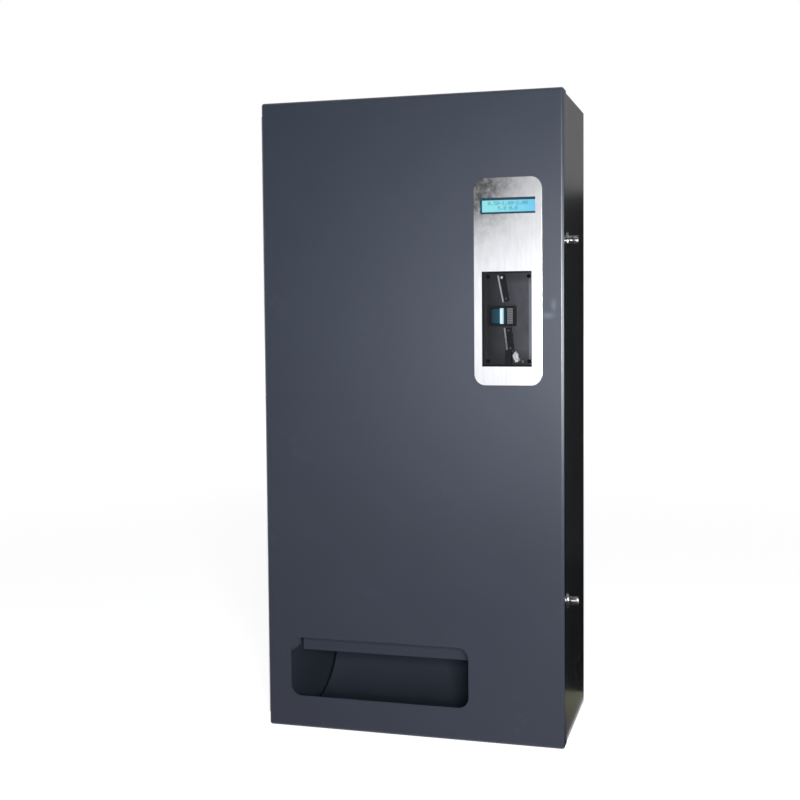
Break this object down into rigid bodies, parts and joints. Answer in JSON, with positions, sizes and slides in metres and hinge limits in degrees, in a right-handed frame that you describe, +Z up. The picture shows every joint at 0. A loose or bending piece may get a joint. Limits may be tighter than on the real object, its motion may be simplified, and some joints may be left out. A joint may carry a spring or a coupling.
{
  "type": "umbrella vending machine",
  "caption": "Wall-mounted steel cabinet that sells folded umbrellas: hinged door with display and coin unit, sloping-ramp magazine, motor-driven dispensing drum and low delivery tray",
  "frame": {"origin": "middle of the cabinet's flat base, half way from the door's face to the wall face", "axes": "+X to the right seen from the front, +Y to the wall, +Z up"},
  "size_m": [0.5834, 0.302, 1.17],
  "materials": {
    "cabinet_paint": "satin anthracite powder coat",
    "zinc_sheet": "zinc-plated sheet",
    "brushed_steel": "brushed stainless steel",
    "bright_steel": "bright zinc-plated steel",
    "lock_chrome": "polished chrome",
    "lock_brass": "turned brass",
    "black_plastic": "black moulded plastic",
    "black_screws": "blackened steel screws",
    "entry_tint": "tinted blue-green plastic",
    "button_grey": "grey moulded plastic",
    "lever_ivory": "ivory moulded plastic",
    "display_glass": "clear display window",
    "display_screen": "lit pale blue screen in a dark bezel",
    "drum_grey": "grey painted sheet",
    "gear_white": "white acetal gears",
    "motor_steel": "cast gearbox and drawn can",
    "cash_tin": "dark grey painted tin",
    "grommet_rubber": "black rubber",
    "board_green": "green circuit board",
    "supply_case": "folded aluminium case"
  },
  "bodies": {
    "cabinet": {"cabinet_back": "zinc_sheet", "wall_plates": "zinc_sheet", "cabinet_left_side": "cabinet_paint", "cabinet_right_side": "cabinet_paint", "cabinet_top": "cabinet_paint", "cabinet_bottom": "zinc_sheet", "cable_grommet": "grommet_rubber", "hinge_cabinet_leaf": "zinc_sheet", "hinge_pin": "bright_steel", "lock_collars": "lock_chrome", "lock_barrels": "lock_chrome", "lock_nuts": "bright_steel", "magazine_left_plate": "cabinet_paint", "magazine_right_plate": "cabinet_paint", "magazine_cover": "zinc_sheet", "ramp_1": "zinc_sheet", "ramp_2": "zinc_sheet", "ramp_3": "zinc_sheet", "ramp_4": "zinc_sheet", "ramp_5": "zinc_sheet", "hopper_plates": "zinc_sheet", "drum_bushes": "lock_brass", "gear_motor": "motor_steel", "motor_bracket": "zinc_sheet", "delivery_scoop": "cabinet_paint", "tray_guard": "cabinet_paint", "coin_chute": "zinc_sheet", "cash_shelf": "zinc_sheet", "controller_board": "board_green", "board_standoffs": "bright_steel", "power_supply": "supply_case"},
    "door": {"door_panel": "cabinet_paint", "hinge_door_leaf": "zinc_sheet", "door_stiffeners": "zinc_sheet", "door_catches": "zinc_sheet", "fascia_plate": "brushed_steel", "fascia_nuts": "bright_steel", "display_lens": "display_glass", "display_module": "display_screen", "coin_panel": "black_plastic", "coin_panel_screws": "black_screws", "upper_coin_guide": "black_plastic", "lower_coin_guide": "black_plastic", "coin_guide_strips": "brushed_steel", "coin_head": "black_plastic", "coin_entry_lens": "entry_tint", "coin_validator": "black_plastic"},
    "upper_lock": {"upper_lock_plug": "lock_brass", "upper_lock_cam": "bright_steel"},
    "lower_lock": {"lower_lock_plug": "lock_brass", "lower_lock_cam": "bright_steel"},
    "drum": {"dispensing_drum": "drum_grey", "drum_axles": "bright_steel", "drum_gear": "gear_white"},
    "pinion": {"motor_pinion": "gear_white"},
    "button": {"reject_button": "button_grey"},
    "lever": {"return_lever": "lever_ivory"},
    "cash_drawer": {"cash_box": "cash_tin", "cash_box_handle": "cash_tin"}
  },
  "joints": [
    {"name": "door_hinge", "type": "hinge", "parent": "cabinet", "child": "door", "pos_m": [-0.2834, -0.121, 0.586], "axis": [0, 0, -1], "range_deg": [0, 110]},
    {"name": "upper_lock_turn", "type": "hinge", "parent": "cabinet", "child": "upper_lock", "pos_m": [0.2495, -0.09, 0.908], "axis": [-1, 0, 0], "range_deg": [0, 90]},
    {"name": "lower_lock_turn", "type": "hinge", "parent": "cabinet", "child": "lower_lock", "pos_m": [0.2495, -0.09, 0.258], "axis": [-1, 0, 0], "range_deg": [0, 90]},
    {"name": "drum_turn", "type": "hinge", "parent": "cabinet", "child": "drum", "pos_m": [-0.062, 0.02, 0.25], "axis": [1, 0, 0], "continuous": true},
    {"name": "pinion_turn", "type": "hinge", "parent": "cabinet", "child": "pinion", "pos_m": [0.1215, 0.059, 0.25], "axis": [1, 0, 0], "continuous": true},
    {"name": "reject_press", "type": "slide", "parent": "door", "child": "button", "axis": [0, 1, 0], "range_m": [0, 0.003], "stiffness_N_per_m": 300, "springref_m": -0.001},
    {"name": "return_turn", "type": "hinge", "parent": "door", "child": "lever", "pos_m": [0.1962, -0.135, 0.6973], "axis": [0, 1, 0], "range_deg": [0, 20], "stiffness_Nm_per_rad": 0.03, "springref_deg": -5.73},
    {"name": "cash_box_slide", "type": "slide", "parent": "cabinet", "child": "cash_drawer", "axis": [0, -1, 0], "range_m": [0, 0.04]}
  ],
  "couplings": [
    {"joint": "pinion_turn", "follows": "drum_turn", "ratio": -3.3333}
  ]
}
